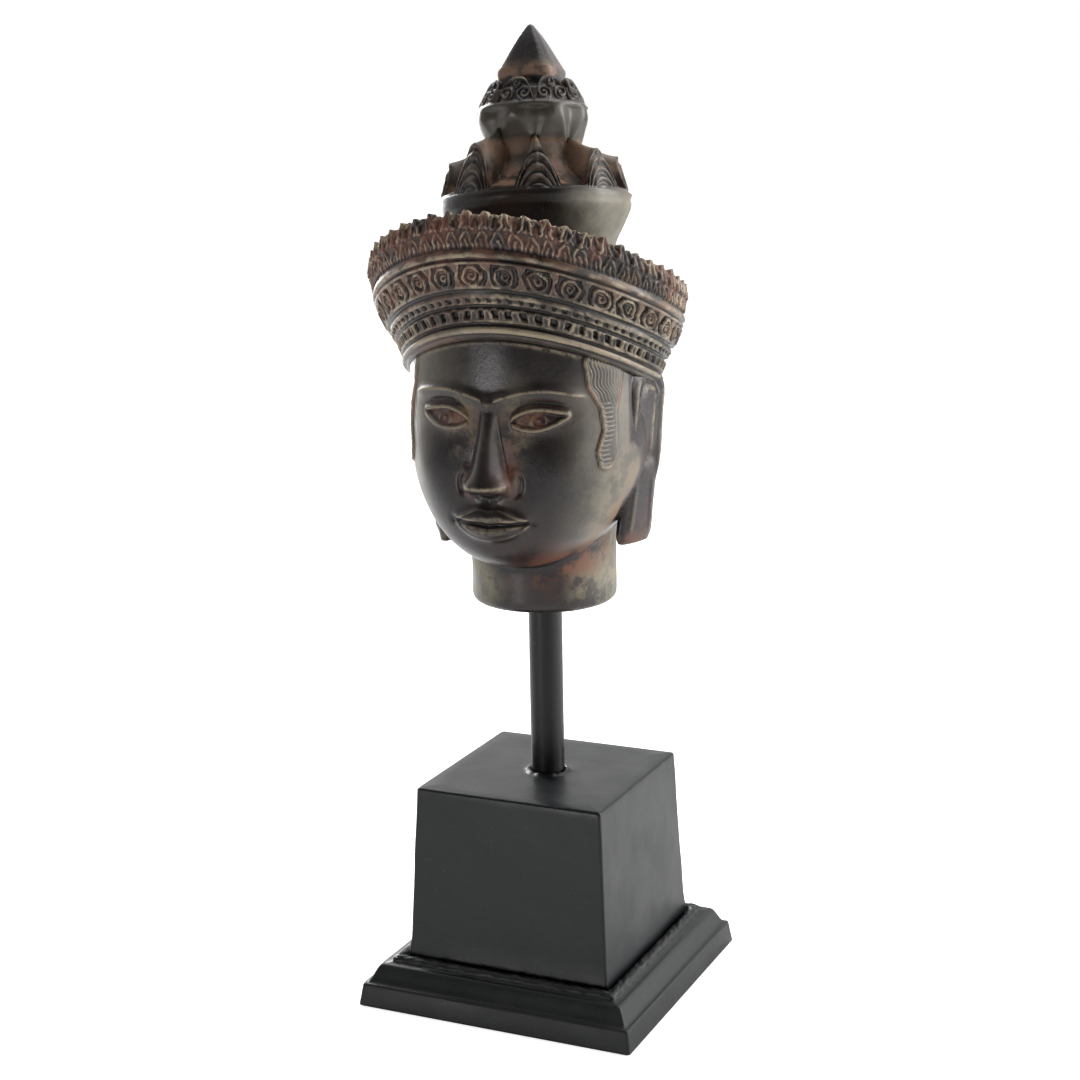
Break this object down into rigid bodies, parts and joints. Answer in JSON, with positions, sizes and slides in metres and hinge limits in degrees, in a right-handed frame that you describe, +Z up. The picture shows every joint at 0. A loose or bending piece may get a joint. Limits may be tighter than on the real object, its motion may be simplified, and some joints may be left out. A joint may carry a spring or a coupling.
{
  "type": "crowned sculpture head on stand",
  "caption": "Cast head with flared diadem, tiered pointed headdress and long ears, on a round rod, a tapered square block and a moulded plinth",
  "frame": {"origin": "centre of the plinth's underside, on the rod's axis", "axes": "+Z up along the rod, -Y out of the front of the stand, +X to the right of someone facing the front"},
  "size_m": [0.0926, 0.102, 0.2885],
  "materials": {
    "bronze": "dark brown-black patinated bronze, ochre and brick-red dirt in the carving",
    "rod_paint": "satin black paint",
    "block_paint": "satin black paint on wood",
    "plinth_paint": "satin black paint on wood, rough at the filler line"
  },
  "bodies": {
    "root": {"head": "bronze", "rod": "rod_paint", "block": "block_paint", "plinth": "plinth_paint"}
  },
  "joints": []
}
